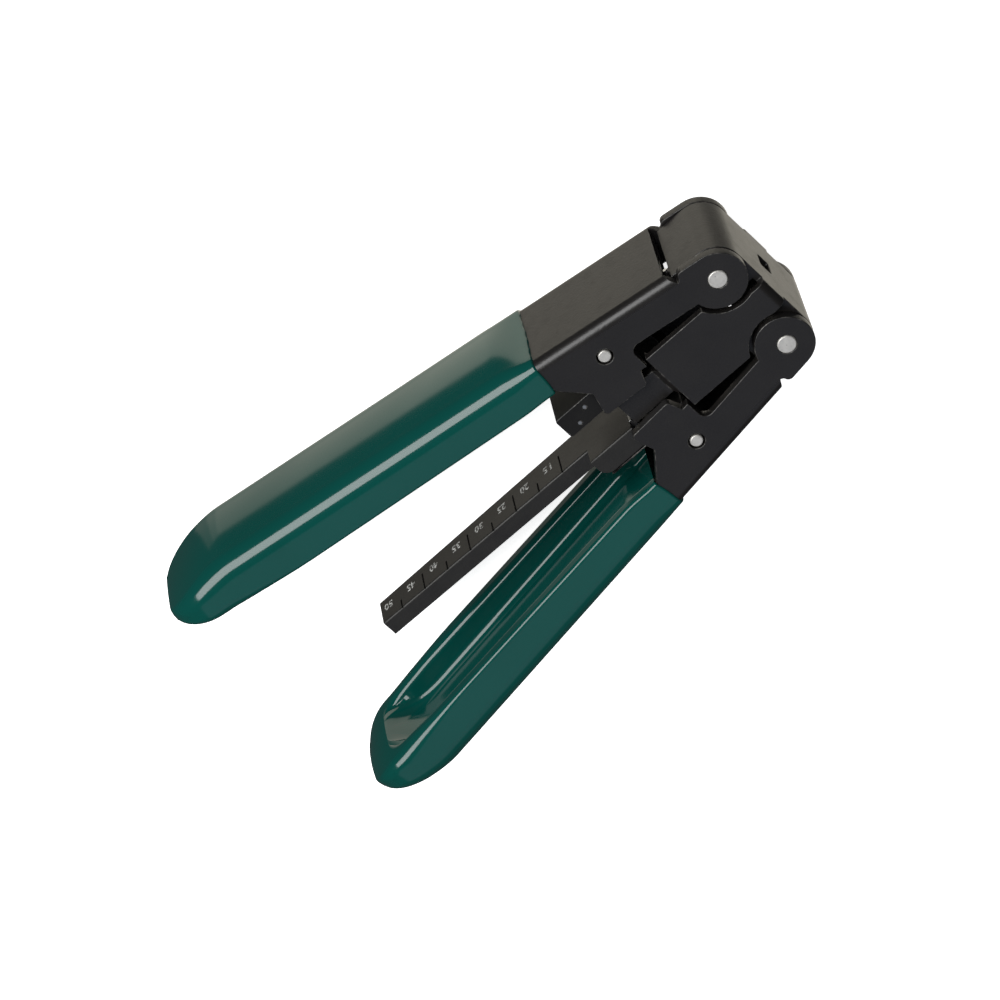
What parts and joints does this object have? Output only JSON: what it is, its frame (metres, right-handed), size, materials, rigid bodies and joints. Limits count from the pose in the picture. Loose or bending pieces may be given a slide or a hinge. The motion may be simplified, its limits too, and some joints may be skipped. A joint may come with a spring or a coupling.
{
  "type": "fibre stripper",
  "caption": "Hand stripper for flat fibre drop cable: a folded steel head with a cable entry, two sprung dipped handles, sliding bladed jaws and a strip-length ruler.",
  "frame": {"origin": "middle of the tool's outer box in plan, on the side that it lies on", "axes": "+X along the tool towards the cable entry, +Y across the handles towards the upper handle, +Z along the pivot pins"},
  "size_m": [0.1074, 0.0564, 0.0204],
  "materials": {
    "black_steel": "satin blackened steel sheet",
    "black_casting": "matt black die casting",
    "ruler_black": "satin black sheet with engraved ticks",
    "dipped_grip": "glossy dark green dipped coat",
    "bright_pin": "bright pin ends",
    "sleeve_steel": "plain turned steel",
    "spring_steel": "bright spring wire",
    "blade_steel": "ground blade steel",
    "screw_steel": "blackened screws"
  },
  "bodies": {
    "head": {"head_bracket": "black_steel", "upper_pivot_pin": "bright_pin", "lower_pivot_pin": "bright_pin", "upper_pivot_sleeve": "sleeve_steel", "lower_pivot_sleeve": "sleeve_steel"},
    "upper_handle": {"upper_arm": "black_steel", "upper_grip": "dipped_grip", "upper_torsion_spring": "spring_steel"},
    "lower_handle": {"lower_arm": "black_steel", "lower_grip": "dipped_grip", "lower_torsion_spring": "spring_steel"},
    "upper_carrier": {"upper_jaw": "black_casting", "upper_jaw_pin": "bright_pin", "upper_jaw_dowels": "bright_pin", "upper_blade": "blade_steel", "upper_blade_screws": "screw_steel"},
    "lower_carrier": {"lower_jaw": "black_casting", "lower_jaw_pin": "bright_pin", "lower_blade": "blade_steel", "lower_blade_screws": "screw_steel", "guide_posts": "bright_pin", "ruler": "ruler_black", "ruler_rivets": "screw_steel"}
  },
  "joints": [
    {"name": "upper_handle_squeeze", "type": "hinge", "parent": "head", "child": "upper_handle", "pos_m": [0.04901, 0.00827, 0.0102], "axis": [0, 0, 1], "range_deg": [0, 5.5], "stiffness_Nm_per_rad": 0.6, "springref_deg": -14.32},
    {"name": "lower_handle_squeeze", "type": "hinge", "parent": "head", "child": "lower_handle", "pos_m": [0.04901, -0.00827, 0.0102], "axis": [0, 0, -1], "range_deg": [0, 5.5], "stiffness_Nm_per_rad": 0.6, "springref_deg": -14.32},
    {"name": "upper_jaw_slide", "type": "slide", "parent": "head", "child": "upper_carrier", "axis": [0, -1, 0], "range_m": [0, 0.0021]},
    {"name": "lower_jaw_slide", "type": "slide", "parent": "head", "child": "lower_carrier", "axis": [0, 1, 0], "range_m": [0, 0.0021]}
  ],
  "couplings": [
    {"joint": "upper_jaw_slide", "follows": "upper_handle_squeeze", "m_per_rad": 0.0214},
    {"joint": "lower_jaw_slide", "follows": "lower_handle_squeeze", "m_per_rad": 0.0214}
  ]
}
